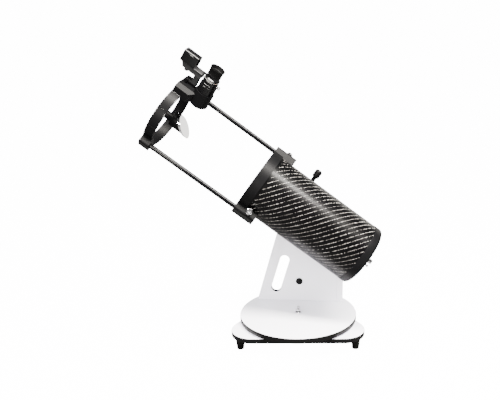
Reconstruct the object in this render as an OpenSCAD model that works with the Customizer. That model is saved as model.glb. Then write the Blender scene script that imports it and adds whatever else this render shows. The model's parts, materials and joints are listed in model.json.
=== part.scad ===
// Table-top Dobsonian telescope: a collapsible two-strut reflector on a single-arm rocker base.
// Millimetres, +Z up, floor at Z = 0. The tube looks towards -X and up; the arm stands on the +Y side.

/* [Optical tube] */
// Outside radius of the main tube
tube_r = 92.5; // [85:0.5:100]
// Wall thickness of the main tube
tube_wall = 1.5; // [1:0.5:3]
// Distance from the altitude axis to the collar's front face
collar_front = 148; // [130:1:170]
// Distance from the altitude axis back to the rear cap's outer face
cap_back = 244; // [220:1:280]
// Altitude of the tube as modelled, in degrees
altitude = 36.2; // [20:0.1:50]

/* [Struts and upper cage] */
// Radius of each strut
strut_r = 7; // [5:0.5:9]
// Clear height of the struts above the tube's wall
strut_lift = 5.1; // [3:0.1:9]
// Angle of the upper strut about the tube axis, from straight up towards the open side
strut_angle = -36; // [-50:1:0]
// Distance from the altitude axis to the upper ring's rear face
ring_back = 435; // [380:1:460]
// Length of the upper ring along the tube
ring_len = 28.5; // [20:0.5:40]

/* [Focuser and eyepiece] */
// Distance from the altitude axis to the focuser's axis
focuser_x = 392; // [350:1:400]
// Angle of the focuser about the tube axis
focuser_angle = 16; // [0:1:30]
// Radius of the focuser's housing
housing_r = 26; // [24:0.5:30]
// Inside radius of the eyepiece holder
holder_r = 15.9; // [15.9:0.1:16.5]

/* [Rocker base] */
// Radius of the turntable
turntable_r = 181; // [165:1:200]
// Thickness of the laminated boards
board_t = 15; // [12:1:20]
// Height of the feet
foot_h = 38; // [25:1:50]
// Height of the altitude axis above the turntable
axis_rise = 344.5; // [320:0.5:380]
// Distance from the azimuth axis to the tube's centre plane
tube_offset = 38.5; // [30:0.5:45]
// Distance from the saddle's back to the arm board's near face
saddle_gap = 5.8; // [5:0.1:9]

/* [Fits] */
// Radial clearance of turning and sliding fits
fit_gap = 0.06; // [0.03:0.01:0.1]
// Gap between glued or screwed faces
joint_gap = 0.05; // [0:0.01:0.1]
// Clear space between parts that move past each other
move_gap = 0.4; // [0.3:0.05:1]

/* [Hidden] */
$fn = 64;
tiny = 0.01;
// How far a straight side stays inside the tangent of the round it runs into
blend = 0.1;
cut = 200;
laminate = [0.93, 0.93, 0.95];
banding = [0.06, 0.06, 0.07];
black_metal = [0.05, 0.05, 0.06];
black_plastic = [0.09, 0.09, 0.1];
grey_plastic = [0.3, 0.3, 0.32];
rubber_black = [0.05, 0.05, 0.05];
bright = [0.82, 0.82, 0.84];
steel = [0.6, 0.6, 0.62];
nylon = [0.88, 0.87, 0.83];
glass = [0.75, 0.82, 0.85];
// Whole-object placement: the box of the finished object is centred on the origin
centre_x = -92.3;
centre_y = 19.8;
// Base heights
ground_top = foot_h + board_t;
pad_t = 3.6;
disc_bottom = ground_top + pad_t + move_gap;
disc_t = board_t + 1;
disc_top = disc_bottom + disc_t;
axis_z = disc_top + axis_rise;
lobe_reach = 154;
lobe_r = 66;
foot_reach = 199;
foot_turn = 34.3;
band_t = 1;
azimuth_r = 4;
// Arm
arm_t = board_t + 1;
arm_top_r = 40;
arm_left = -139;
arm_right = 118;
slot_r = 15.5;
// Saddle and dovetail, measured across the tube from its axis
bar_out = tube_r + 11.5;
bar_in = tube_r - 6;
bar_half = 21;
bar_neck = 17.5;
saddle_half = 45;
saddle_back = bar_out + move_gap + 13;
saddle_lip = bar_out - 9;
// Distance from the azimuth axis to the arm board's near face
arm_y = saddle_back + saddle_gap - tube_offset;
arm_far = -(arm_y + tube_offset);
altitude_r = 5;
knob_y = -(bar_out - 4.5);
// Struts
strut_reach = tube_r + strut_lift + strut_r;
boss_out = strut_reach + strut_r + 5;
boss_half = 22;
boss_len = 67;
strut_back = collar_front - boss_len + 9;
ring_r = tube_r + 2.3;
ring_in = ring_r - 4;
ring_front = ring_back + ring_len;
lock_x = 106;
lock_r = 3;
lock_turn_upper = -40;
lock_turn_lower = -90;
// Mirror cell
screw_reach = 62;
screw_angles = [75, 195, 315];
cell_screw_r = 3;
plate_t = 4;
cell_back = -(cap_back - 16);
cell_t = 6;
mirror_r = 76;
mirror_t = 20;
mirror_curve = 1500;
// Focuser heights above the tube axis
housing_top = ring_r + 33.2;
block_top = ring_r + 19.2;
block_foot = ring_r - 14.8;
draw_foot = ring_r + 3.2;
draw_r = 18;
collar_h = ring_r + 57.2;
draw_top = ring_r + 71.2;
thumb_h = draw_top - 7;
// Finder
finder_w = -16;
finder_half = 14;
tilt_x = 432;
tilt_h = block_top + 27;
// Height of the hood's middle above the tilt axis
hood_h = 34.5;

// ---------- Placement ----------
// From the azimuth axis on the floor
module on_base() {
    translate([-centre_x, -centre_y, 0]) children();
}

// Along the tube: X towards the sky, Y towards the open side, Z up and square to the tube
module on_tube() {
    on_base()
        translate([0, -tube_offset, axis_z])
            rotate([0, 0, 180])
                rotate([0, -altitude, 0])
                    children();
}

// Turned about the tube axis, so that Z runs outwards at the given angle
module at_angle(a) {
    rotate([-a, 0, 0]) children();
}

// A shape drawn along Z, laid along X
module along_x() {
    rotate([0, 90, 0]) children();
}

// A shape drawn along Z, laid along Y
module along_y() {
    rotate([-90, 0, 0]) children();
}

module rod_x(r, x0, x1) {
    translate([x0, 0, 0]) along_x() cylinder(r = r, h = x1 - x0);
}

module tube_x(r_out, r_in, x0, x1) {
    difference() {
        rod_x(r_out, x0, x1);
        rod_x(r_in, x0 - 1, x1 + 1);
    }
}

// Flat bar along X with round corners, standing on Z = z0
module rounded_bar(x0, x1, half, z0, z1, corner) {
    translate([x0, 0, (z0 + z1) / 2])
        along_x()
            linear_extrude(x1 - x0)
                rounded_rectangle(z1 - z0, 2 * half, corner);
}

module rounded_rectangle(w, h, r) {
    in = 0.02;
    square([w - 2 * r, h - in], center = true);
    square([w - in, h - 2 * r], center = true);
    for (sx = [-1, 1], sy = [-1, 1])
        translate([sx * (w / 2 - r), sy * (h / 2 - r)]) circle(r = r);
}

// ---------- Ground board ----------
// Rounded triangle with a lobe over each foot; the sides stay just inside the lobes' tangents
module ground_outline(r) {
    side = r - blend;
    for (a = [0, 120, 240])
        rotate(a + 90) translate([lobe_reach, 0]) circle(r = r, $fn = 96);
    polygon([for (a = [0, 120, 240], s = [-60, 60])
        lobe_reach * [cos(a + 90), sin(a + 90)] + side * [cos(a + 90 + s), sin(a + 90 + s)]]);
}

module turned_to_feet() {
    rotate(foot_turn - 30) children();
}

module ground_board() {
    color(laminate) on_base() turned_to_feet()
        difference() {
            translate([0, 0, foot_h]) linear_extrude(board_t) ground_outline(lobe_r);
            cylinder(r = azimuth_r + fit_gap, h = cut);
            foot_screw_holes();
        }
}

module ground_edge() {
    color(banding) on_base() turned_to_feet()
        translate([0, 0, foot_h])
            linear_extrude(board_t)
                difference() {
                    ground_outline(lobe_r + band_t);
                    ground_outline(lobe_r + tiny);
                }
}

module at_foot(a) {
    rotate(a + 90) translate([foot_reach, 0, 0]) children();
}

module foot_screw_holes() {
    for (a = [0, 120, 240])
        at_foot(a) translate([0, 0, foot_h - 1]) cylinder(r = 2.5 + joint_gap, h = 11);
}

module foot(a) {
    color(rubber_black) on_base() turned_to_feet() at_foot(a)
        difference() {
            cylinder(r1 = 10.5, r2 = 15, h = foot_h - joint_gap);
            translate([0, 0, -1]) cylinder(r = 6, h = 9);
            cylinder(r = 2.5 + joint_gap, h = cut);
        }
}

module foot_back() {
    foot(0);
}

module foot_left() {
    foot(120);
}

module foot_right() {
    foot(240);
}

module foot_screws() {
    color(steel) on_base() turned_to_feet()
        for (a = [0, 120, 240])
            at_foot(a) {
                translate([0, 0, 8 - 3]) cylinder(r = 5, h = 3 - joint_gap);
                translate([0, 0, 7]) cylinder(r = 2.5, h = foot_h + 2);
            }
}

module bearing_pads() {
    color(nylon) on_base()
        for (a = [30, 150, 270])
            rotate(a) translate([118, 0, ground_top]) cylinder(r = 16, h = pad_t);
}

// ---------- Azimuth pivot ----------
module azimuth_bolt() {
    color(bright) on_base() {
        translate([0, 0, foot_h - 6]) cylinder(r = 8, h = 6 - joint_gap, $fn = 6);
        translate([0, 0, foot_h - 1]) cylinder(r = azimuth_r, h = disc_top - foot_h + 19);
    }
}

module azimuth_washer() {
    color(bright) on_base()
        translate([0, 0, disc_top + move_gap])
            difference() {
                cylinder(r = 13, h = 2);
                translate([0, 0, -1]) cylinder(r = azimuth_r + joint_gap, h = 4);
            }
}

module azimuth_nut() {
    color(bright) on_base()
        translate([0, 0, disc_top + move_gap + 2 + joint_gap])
            difference() {
                cylinder(r = 9.5, h = 8, $fn = 6);
                translate([0, 0, -1]) cylinder(r = azimuth_r + joint_gap, h = 10);
            }
}

module azimuth_bush() {
    color(nylon) on_base()
        difference() {
            translate([0, 0, disc_bottom]) cylinder(r = 8, h = disc_t);
            cylinder(r = azimuth_r + fit_gap, h = cut);
        }
}

// ---------- Turntable and arm ----------
module turntable() {
    color(laminate) on_base()
        difference() {
            translate([0, 0, disc_bottom]) cylinder(r = turntable_r - band_t, h = disc_t, $fn = 128);
            cylinder(r = 8 + tiny, h = cut);
            arm_screw_shafts(joint_gap);
        }
}

module turntable_edge() {
    color(banding) on_base()
        translate([0, 0, disc_bottom])
            difference() {
                cylinder(r = turntable_r, h = disc_t, $fn = 128);
                translate([0, 0, -1]) cylinder(r = turntable_r - band_t + tiny, h = disc_t + 2, $fn = 128);
            }
}

// Side view of the arm, drawn with its foot on Y = 0 and the altitude axis at (0, axis_rise)
module arm_outline() {
    lean = 16;
    side = arm_top_r - 3 * blend;
    translate([0, axis_rise]) circle(r = arm_top_r, $fn = 96);
    polygon([
        [arm_left, 0],
        [arm_right, 0],
        [arm_right, 150],
        [side * cos(lean), axis_rise + side * sin(lean)],
        [-side * cos(lean), axis_rise + side * sin(lean)]
    ]);
}

// Hand hole, leaning with the arm's front edge
module hand_hole() {
    low = [-80, 45];
    high = [-51, 140];
    run = high - low;
    translate(low) circle(r = slot_r);
    translate(high) circle(r = slot_r);
    translate(low) rotate(atan2(run[1], run[0])) translate([0, blend - slot_r])
        square([norm(run), 2 * (slot_r - blend)]);
}

module on_arm(y) {
    translate([0, y, disc_top]) rotate([90, 0, 0]) children();
}

module arm_board() {
    color(laminate) on_base()
        difference() {
            on_arm(arm_y + arm_t)
                linear_extrude(arm_t)
                    difference() {
                        arm_outline();
                        hand_hole();
                        translate([-4, 68]) circle(r = 9);
                        translate([0, axis_rise]) circle(r = 8 + tiny);
                    }
            arm_screw_shafts(joint_gap);
        }
}

module arm_cap() {
    color(rubber_black) on_base() {
        on_arm(arm_y - joint_gap) linear_extrude(2) translate([-4, 68]) circle(r = 11);
        on_arm(arm_y + arm_t) linear_extrude(arm_t + 1) translate([-4, 68]) circle(r = 9 - joint_gap);
    }
}

module arm_stiffener() {
    color(laminate) on_base()
        translate([arm_right + joint_gap, arm_y, disc_top])
            difference() {
                cube([20, 31, 150]);
                translate([10, 16, -1]) cylinder(r = 2.5 + joint_gap, h = 31);
            }
}

arm_screw_x = [-110, -40, 30, 100];
module arm_screw_shafts(gap) {
    for (x = arm_screw_x)
        translate([x, arm_y + arm_t / 2, disc_bottom - 1]) {
            cylinder(r = 2.5 + gap, h = disc_t + 30 + gap);
            cylinder(r = 5 + gap, h = 5);
        }
    translate([arm_right + 10 + joint_gap, arm_y + 16, disc_bottom - 1]) {
        cylinder(r = 2.5 + gap, h = disc_t + 30);
        cylinder(r = 5 + gap, h = 5);
    }
}

module arm_screws() {
    color(steel) on_base()
        difference() {
            arm_screw_shafts(0);
            translate([-cut, -cut, disc_bottom - 5]) cube([2 * cut, 2 * cut, 5 + move_gap]);
        }
}

// ---------- Altitude pivot and saddle ----------
module altitude_bush() {
    color(nylon) on_tube()
        translate([0, arm_far - arm_t, 0])
            along_y()
                difference() {
                    cylinder(r = 8, h = arm_t);
                    translate([0, 0, -1]) cylinder(r = altitude_r + fit_gap, h = arm_t + 2);
                }
}

module altitude_bolt() {
    color(steel) on_tube() {
        translate([0, -bar_out - 6, 0]) along_y() cylinder(r = 8, h = 5, $fn = 6);
        translate([0, arm_far - arm_t - 18, 0]) along_y() cylinder(r = altitude_r, h = arm_t + 18 - arm_far - bar_out - 5);
    }
}

module friction_disc() {
    color(nylon) on_tube()
        translate([0, arm_far + move_gap, 0])
            along_y()
                difference() {
                    cylinder(r = 38, h = -arm_far - move_gap - saddle_back - joint_gap);
                    translate([0, 0, -1]) cylinder(r = altitude_r + joint_gap, h = cut);
                }
}

module tension_knob() {
    color(black_plastic) on_tube()
        translate([0, arm_far - arm_t - move_gap, 0])
            rotate([90, 0, 0])
                difference() {
                    union() {
                        cylinder(r = 14, h = 6);
                        translate([0, 0, 6]) cylinder(r = 22, h = 16);
                    }
                    for (a = [0 : 60 : 300])
                        rotate(a) translate([26, 0, 5]) cylinder(r = 7, h = 20);
                    translate([0, 0, -1]) cylinder(r = altitude_r + fit_gap, h = 20);
                }
}

// Section of the saddle across the tube: a fixed jaw below and a wall for the clamp above
module saddle() {
    wall_in = 33;
    wall_out = 44;
    color(black_metal) on_tube()
        difference() {
            translate([-saddle_half, 0, 0])
                rotate([90, 0, 90])
                    linear_extrude(2 * saddle_half)
                        polygon([
                            [-saddle_back, -40],
                            [-saddle_lip, -40],
                            [-saddle_lip, -bar_neck - 1],
                            [-bar_out - move_gap, -bar_half - 1],
                            [-bar_out - move_gap, wall_in],
                            [-saddle_lip, wall_in],
                            [-saddle_lip, wall_out],
                            [-saddle_back, wall_out]
                        ]);
            translate([0, -bar_out - 6 - joint_gap, 0]) along_y() cylinder(r = 8.3, h = cut);
            translate([0, -cut, 0]) along_y() cylinder(r = altitude_r + joint_gap, h = cut);
            translate([5, knob_y, 0]) cylinder(r = 4 + fit_gap, h = cut);
        }
}

module saddle_jaw() {
    color(steel) on_tube()
        translate([-30, 0, 0])
            rotate([90, 0, 90])
                linear_extrude(60)
                    polygon([
                        [-bar_out, bar_half + 0.5],
                        [-saddle_lip, bar_neck + 0.8],
                        [-saddle_lip, 29.8],
                        [-bar_out, 29.8]
                    ]);
}

module clamp_knob() {
    color(black_plastic) on_tube()
        translate([5, knob_y, 0]) {
            translate([0, 0, 32.8]) cylinder(r = 4, h = 50);
            translate([0, 0, 74]) cylinder(r = 5.5, h = 17);
            translate([0, 0, 90]) cylinder(r1 = 9, r2 = 11, h = 4);
            translate([0, 0, 94]) cylinder(r = 11, h = 14);
            translate([0, 0, 108]) cylinder(r1 = 11, r2 = 7, h = 4);
        }
}

module dovetail_bar() {
    color(black_metal) on_tube()
        difference() {
            translate([-60, 0, 0])
                rotate([90, 0, 90])
                    linear_extrude(177)
                        polygon([
                            [-bar_out, -bar_half],
                            [-saddle_lip, -bar_neck],
                            [-bar_in, -bar_neck],
                            [-bar_in, bar_neck],
                            [-saddle_lip, bar_neck],
                            [-bar_out, bar_half]
                        ]);
            rod_x(tube_r + joint_gap, -cut, cut);
        }
}

// ---------- Main tube ----------
module main_tube() {
    color(black_metal) on_tube()
        difference() {
            rod_x(tube_r, -(cap_back - 12), collar_front - 2);
            rod_x(tube_r - tube_wall, -cap_back, collar_front);
        }
}

// Block that holds a strut, before the tube's own bore is cut through it
module strut_boss(x0, x1, half) {
    rounded_bar(x0, x1, half, tube_r - 8, boss_out, 6);
}

module strut_bore(x0, x1) {
    translate([0, 0, strut_reach]) rod_x(strut_r + fit_gap, x0, x1);
}

module lock_hole(turn, depth) {
    translate([lock_x, 0, strut_reach]) rotate([-turn, 0, 0]) cylinder(r = lock_r + fit_gap, h = depth);
}

module front_collar() {
    lip = 2;
    color(black_plastic) on_tube()
        difference() {
            union() {
                rod_x(tube_r + 4.5, collar_front - 30, collar_front);
                for (a = [strut_angle, strut_angle + 180])
                    at_angle(a) strut_boss(collar_front - boss_len, collar_front, boss_half);
                at_angle(strut_angle)
                    translate([lock_x, 0, strut_reach])
                        rotate([-lock_turn_upper, 0, 0])
                            cylinder(r = 8.5, h = 24);
            }
            rod_x(tube_r + joint_gap, 0, collar_front - lip + joint_gap);
            rod_x(tube_r - 4, 0, collar_front + 1);
            for (a = [strut_angle, strut_angle + 180])
                at_angle(a) strut_bore(0, collar_front + 1);
            at_angle(strut_angle) lock_hole(lock_turn_upper, 40);
            at_angle(strut_angle + 180) lock_hole(lock_turn_lower, 40);
        }
}

// Thumbscrew that pinches a strut: shank, neck and knurled head
module lock_screw(turn) {
    translate([lock_x, 0, strut_reach])
        rotate([-turn, 0, 0]) {
            translate([0, 0, strut_r + 0.6]) cylinder(r = lock_r, h = 24);
            translate([0, 0, 24 + move_gap]) cylinder(r = 5, h = 8);
            translate([0, 0, 30]) cylinder(r = 9, h = 12);
        }
}

module upper_lock_screw() {
    color(bright) on_tube() at_angle(strut_angle) lock_screw(lock_turn_upper);
}

module lower_lock_screw() {
    color(bright) on_tube() at_angle(strut_angle + 180) lock_screw(lock_turn_lower);
}

// ---------- Rear cap and primary mirror ----------
module at_cell_screw(a) {
    at_angle(a) translate([0, 0, screw_reach]) children();
}

module rear_cap() {
    color(black_plastic) on_tube()
        difference() {
            along_x()
                rotate_extrude($fn = 128)
                    polygon([
                        [tube_r + 1, -cap_back + 28],
                        [tube_r + 1, -cap_back + 7],
                        [tube_r - 6, -cap_back],
                        [30, -cap_back],
                        [30, -cap_back + plate_t],
                        [tube_r - 8, -cap_back + plate_t],
                        [tube_r - 2, -cap_back + 10],
                        [tube_r - 2, -cap_back + 12 - joint_gap],
                        [tube_r + joint_gap, -cap_back + 12 - joint_gap],
                        [tube_r + joint_gap, -cap_back + 28]
                    ]);
            for (a = screw_angles)
                at_cell_screw(a) rod_x(cell_screw_r + fit_gap, -cut - 60, -cut);
            for (a = screw_angles)
                at_cell_screw(a + 14) rod_x(2.2 + joint_gap, -cut - 60, -cut);
        }
}

module cell_lock_screws() {
    color(bright) on_tube()
        for (a = screw_angles)
            at_cell_screw(a + 14) {
                rod_x(2.2, -cap_back - 10, cell_back - 2);
                rod_x(4, -cap_back - 12, -cap_back - 8);
            }
}

module mirror_cell() {
    color(steel) on_tube()
        difference() {
            rod_x(80, cell_back, cell_back + cell_t);
            rod_x(15, cell_back - 1, cell_back + cell_t + 1);
            for (a = screw_angles)
                at_cell_screw(a) rod_x(cell_screw_r + fit_gap, cell_back - 1, cell_back + cell_t + 1);
        }
}

module primary_mirror() {
    back = cell_back + cell_t + joint_gap;
    front = cell_back + cell_t + mirror_t;
    sag = mirror_r * mirror_r / (2 * mirror_curve);
    color(glass) on_tube()
        along_x()
            rotate_extrude()
                polygon([
                    [0, back],
                    [mirror_r, back],
                    for (i = [8 : -1 : 0]) [mirror_r * i / 8, front - sag * (1 - i * i / 64)]
                ]);
}

module mirror_clips() {
    front = cell_back + cell_t + mirror_t;
    color(steel) on_tube()
        for (a = screw_angles)
            at_angle(a - 60) {
                translate([cell_back + cell_t + joint_gap, -6, mirror_r + 0.4]) cube([mirror_t + 1, 12, 2.6]);
                translate([front + 0.4, -6, mirror_r - 4]) cube([1.5, 12, 7]);
            }
}

module cell_springs() {
    color(steel) on_tube()
        for (a = screw_angles, i = [0 : 3])
            at_cell_screw(a)
                translate([cell_back - 1.1 - 2.8 * i, 0, 0])
                    along_x()
                        rotate_extrude($fn = 32) translate([5.5, 0]) circle(r = 0.9, $fn = 16);
}

module collimation_screw(i) {
    color(bright) on_tube()
        at_cell_screw(screw_angles[i]) {
            rod_x(cell_screw_r, -cap_back - 14, cell_back + cell_t - 2);
            rod_x(7, -cap_back - 14, -cap_back - move_gap);
        }
}

module collimation_screw_a() {
    collimation_screw(0);
}

module collimation_screw_b() {
    collimation_screw(1);
}

module collimation_screw_c() {
    collimation_screw(2);
}

// ---------- Struts and upper ring ----------
module strut(a) {
    color(black_metal) on_tube()
        at_angle(a)
            translate([0, 0, strut_reach])
                tube_x(strut_r, strut_r - 1.2, strut_back, ring_front - 7);
}

module upper_strut() {
    strut(strut_angle);
}

module lower_strut() {
    strut(strut_angle + 180);
}

module upper_ring() {
    mid = ring_back + ring_len / 2;
    color(black_plastic) on_tube()
        difference() {
            union() {
                rod_x(ring_r, ring_back, ring_front);
                for (a = [strut_angle, strut_angle + 180])
                    at_angle(a) strut_boss(ring_back - 4, ring_front - 2, 17);
            }
            rod_x(ring_in, ring_back - 5, ring_front + 1);
            for (a = [strut_angle, strut_angle + 180])
                at_angle(a) strut_bore(ring_back - 5, ring_front - 7 + joint_gap);
            for (x = [mid - 4, mid + 4])
                at_angle(-90) translate([x, 0, ring_in - 5]) cylinder(r = 1.6, h = 20);
        }
}

// ---------- Secondary mirror ----------
hub_x = 436;
hub_r = 12;
module secondary_stalk() {
    mid = ring_back + ring_len / 2;
    color(black_metal) on_tube()
        difference() {
            at_angle(-90) {
                translate([mid, 0, 6]) cylinder(r = 4.5, h = ring_in - 8);
                intersection() {
                    translate([mid - 11, -8, ring_in - 5]) cube([22, 16, 6]);
                    rod_x(ring_in - joint_gap, 400, 500);
                }
            }
            at_angle(-90) translate([mid - 4, 0, ring_in - 6]) cylinder(r = 1.6, h = 20);
            at_angle(-90) translate([mid + 4, 0, ring_in - 6]) cylinder(r = 1.6, h = 20);
        }
}

// Half space on the mirror's side of the plane that bounces light into the focuser
module mirror_side(back) {
    at_angle(focuser_angle)
        translate([focuser_x, 0, 0])
            rotate([0, -45, 0])
                translate([-60, -60, -back]) cube([120, 120, 80]);
}

module secondary_holder() {
    mid = ring_back + ring_len / 2;
    color(black_plastic) on_tube()
        difference() {
            union() {
                difference() {
                    rod_x(21, focuser_x - 30, hub_x - 4);
                    mirror_side(6 + joint_gap);
                }
                rod_x(hub_r, hub_x - 5, hub_x + 22);
            }
            at_angle(-90) translate([mid, 0, 6 - joint_gap]) cylinder(r = 4.5 + joint_gap, h = 20);
            secondary_screw_shafts(joint_gap);
        }
}

module secondary_mirror() {
    color(glass) on_tube()
        intersection() {
            rod_x(23.5, focuser_x - 45, focuser_x + 45);
            at_angle(focuser_angle)
                translate([focuser_x, 0, 0])
                    rotate([0, -45, 0])
                        translate([-60, -60, -6]) cube([120, 120, 6]);
        }
}

module secondary_screw_shafts(gap) {
    for (a = [-30, 90, 210])
        at_angle(a) translate([0, 0, 7.5]) {
            rod_x(1.5 + gap, hub_x + 8 - gap, hub_x + 23);
            rod_x(2.6 + gap, hub_x + 20 - gap, hub_x + 23);
        }
}

module secondary_screws() {
    color(bright) on_tube() secondary_screw_shafts(0);
}

// ---------- Focuser ----------
module at_focuser() {
    on_tube() at_angle(focuser_angle) translate([focuser_x, 0, 0]) children();
}

// Moulded block that carries the focuser and the finder, seated on the upper ring
module focuser_housing() {
    block_front = ring_front - 1 - focuser_x;
    shoulder = 28;
    color(black_plastic)
        difference() {
            at_focuser()
                difference() {
                    union() {
                        intersection() {
                            translate([-housing_r - 4, 0, 0])
                                rotate([90, 0, 90])
                                    linear_extrude(block_front + housing_r + 4)
                                        polygon([[-32, block_foot], [-32, block_top - 8], [-17, block_top],
                                            [17, block_top], [32, block_top - 8], [32, block_foot]]);
                            translate([0, 0, block_foot])
                                linear_extrude(40)
                                    polygon([[block_front, -32], [block_front, 32], [shoulder, 32],
                                        [16, 20], [16, -20], [shoulder, -32]]);
                        }
                        translate([0, 0, block_foot]) cylinder(r = housing_r, h = housing_top - block_foot);
                    }
                    cylinder(r = draw_r + fit_gap, h = cut);
                }
            on_tube() rod_x(tube_r - 4, 300, 500);
            on_tube() rod_x(ring_r + joint_gap, ring_back - joint_gap, 500);
        }
}

module focus_ring() {
    color(black_plastic)
        at_focuser()
            difference() {
                translate([0, 0, housing_top + move_gap]) cylinder(r = 23.5, h = collar_h - housing_top - 2 * move_gap);
                cylinder(r = draw_r + fit_gap, h = cut);
            }
}

module drawtube() {
    color(black_metal)
        at_focuser()
            difference() {
                union() {
                    translate([0, 0, draw_foot]) cylinder(r = draw_r, h = collar_h + 1 - draw_foot);
                    translate([0, 0, collar_h]) cylinder(r = 22, h = draw_top - collar_h);
                }
                cylinder(r = holder_r, h = cut);
                translate([0, 0, thumb_h]) rotate([0, -90, 0]) cylinder(r = 2 + fit_gap, h = 40);
            }
}

module eyepiece_thumbscrew() {
    color(steel)
        at_focuser()
            translate([0, 0, thumb_h])
                rotate([0, -90, 0]) {
                    translate([0, 0, holder_r + 0.5]) cylinder(r = 2, h = 10);
                    translate([0, 0, 22 + move_gap]) cylinder(r = 4.5, h = 8);
                }
}

module eyepiece_barrel() {
    color(bright)
        at_focuser()
            difference() {
                translate([0, 0, collar_h - 12]) cylinder(r = holder_r - fit_gap, h = draw_top - collar_h + 12);
                cylinder(r = 14, h = cut);
            }
}

module eyepiece_body() {
    color(black_metal)
        at_focuser()
            translate([0, 0, draw_top + joint_gap])
                rotate_extrude()
                    polygon([[13, 0], [21, 0], [21.5, 1], [21.5, 8], [18, 10], [17, 24], [13, 24]]);
}

module eyecup() {
    color(rubber_black)
        at_focuser()
            translate([0, 0, draw_top])
                rotate_extrude()
                    polygon([[17.6, 16], [19.2, 16], [18.6, 28], [20.6, 39], [19.2, 39], [16.8, 29],
                        [14, 26.5], [14, 24.2], [17.2, 24.2]]);
}

module eye_lens() {
    color(glass)
        at_focuser()
            translate([0, 0, draw_top + 17]) cylinder(r = 13 - joint_gap, h = 5);
}

// ---------- Finder ----------
module at_finder() {
    on_tube() at_angle(focuser_angle) translate([0, finder_w, 0]) children();
}

module finder_shoe() {
    color(black_plastic)
        at_finder()
            difference() {
                translate([424, -9, block_top + joint_gap]) cube([36, 18, 7]);
                translate([442, 0, block_top + 1]) cylinder(r = 3 + fit_gap, h = 20);
                translate([428, 0, 0]) cylinder(r = 1.5, h = cut);
                translate([456, 0, 0]) cylinder(r = 1.5, h = cut);
            }
}

module finder_bracket() {
    base = block_top + joint_gap + 7 + move_gap;
    color(grey_plastic)
        at_finder()
            difference() {
                union() {
                    translate([425, -11, base]) cube([32, 22, 5]);
                    translate([442, 0, base - 5]) cylinder(r = 3, h = 6);
                    for (s = [-11, 8.6])
                        translate([425, s, base]) cube([14, 2.4, tilt_h + 4 - base]);
                }
                translate([tilt_x, -20, tilt_h]) along_y() cylinder(r = 2 + fit_gap, h = 40);
                translate([450, 0, base + 2.5]) along_y() cylinder(r = 1.5 + fit_gap, h = 20);
            }
}

module finder_pan_knob() {
    base = block_top + joint_gap + 7 + move_gap;
    color(black_plastic)
        at_finder()
            translate([450, 0, base + 2.5]) {
                translate([0, 2, 0]) along_y() cylinder(r = 1.5, h = 10);
                translate([0, 11 + move_gap, 0]) along_y() cylinder(r = 4.5, h = 6);
            }
}

module at_tilt() {
    at_finder() translate([0, 0, tilt_h]) children();
}

// Side view of the finder's body, with its heights from the tilt axis
module finder_side() {
    polygon([[421, 5], [476, 5], [487, 17], [487, 21], [421, 21]]);
}

module finder_body() {
    color(grey_plastic)
        at_tilt()
            difference() {
                union() {
                    translate([0, finder_half, 0]) rotate([90, 0, 0]) linear_extrude(2 * finder_half) finder_side();
                    translate([0, 2, 0]) rotate([90, 0, 0])
                        linear_extrude(4) polygon([[413, 25], [415, 27], [436, 20], [421, 17]]);
                    translate([448, 0, hood_h])
                        along_x()
                            linear_extrude(44)
                                difference() {
                                    rounded_rectangle(36, 30, 8);
                                    rounded_rectangle(31, 25, 6);
                                }
                    translate([tilt_x - 5, -8, -4]) cube([10, 16, 10]);
                    translate([tilt_x, -11, 0]) along_y() cylinder(r = 2, h = 22);
                }
                translate([468, 0, -1]) cylinder(r = 2 + fit_gap, h = 12);
            }
}

module finder_window() {
    color(glass)
        at_tilt()
            difference() {
                translate([484, 0, hood_h])
                    along_x() linear_extrude(2) rounded_rectangle(31 - 2 * joint_gap, 25 - 2 * joint_gap, 6);
                translate([480, -20, 9]) cube([10, 40, 12 + joint_gap]);
            }
}

module finder_tilt_knob() {
    color(black_plastic)
        at_tilt()
            translate([468, 0, 0]) {
                translate([0, 0, -3]) cylinder(r = 2, h = 13);
                translate([0, 0, -3]) cylinder(r = 6, h = 7);
            }
}

module finder_switch() {
    color(black_plastic)
        at_tilt()
            translate([440, -finder_half - move_gap, 13]) rotate([90, 0, 0]) cylinder(r = 6, h = 5);
}

ground_board();
ground_edge();
foot_left();
foot_right();
foot_back();
foot_screws();
bearing_pads();
azimuth_bolt();
azimuth_washer();
azimuth_nut();
turntable();
turntable_edge();
azimuth_bush();
arm_board();
arm_stiffener();
arm_screws();
arm_cap();
altitude_bush();
saddle();
friction_disc();
altitude_bolt();
tension_knob();
saddle_jaw();
clamp_knob();
dovetail_bar();
main_tube();
front_collar();
upper_lock_screw();
lower_lock_screw();
rear_cap();
cell_lock_screws();
mirror_cell();
primary_mirror();
mirror_clips();
cell_springs();
collimation_screw_a();
collimation_screw_b();
collimation_screw_c();
upper_strut();
lower_strut();
upper_ring();
secondary_stalk();
secondary_holder();
secondary_mirror();
secondary_screws();
focuser_housing();
focus_ring();
drawtube();
eyepiece_thumbscrew();
eyepiece_barrel();
eyepiece_body();
eyecup();
eye_lens();
finder_shoe();
finder_bracket();
finder_pan_knob();
finder_body();
finder_window();
finder_tilt_knob();
finder_switch();
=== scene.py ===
import json
import math

import bpy
from bpy.props import FloatProperty, FloatVectorProperty, IntProperty, PointerProperty
from mathutils import Matrix, Vector


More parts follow.
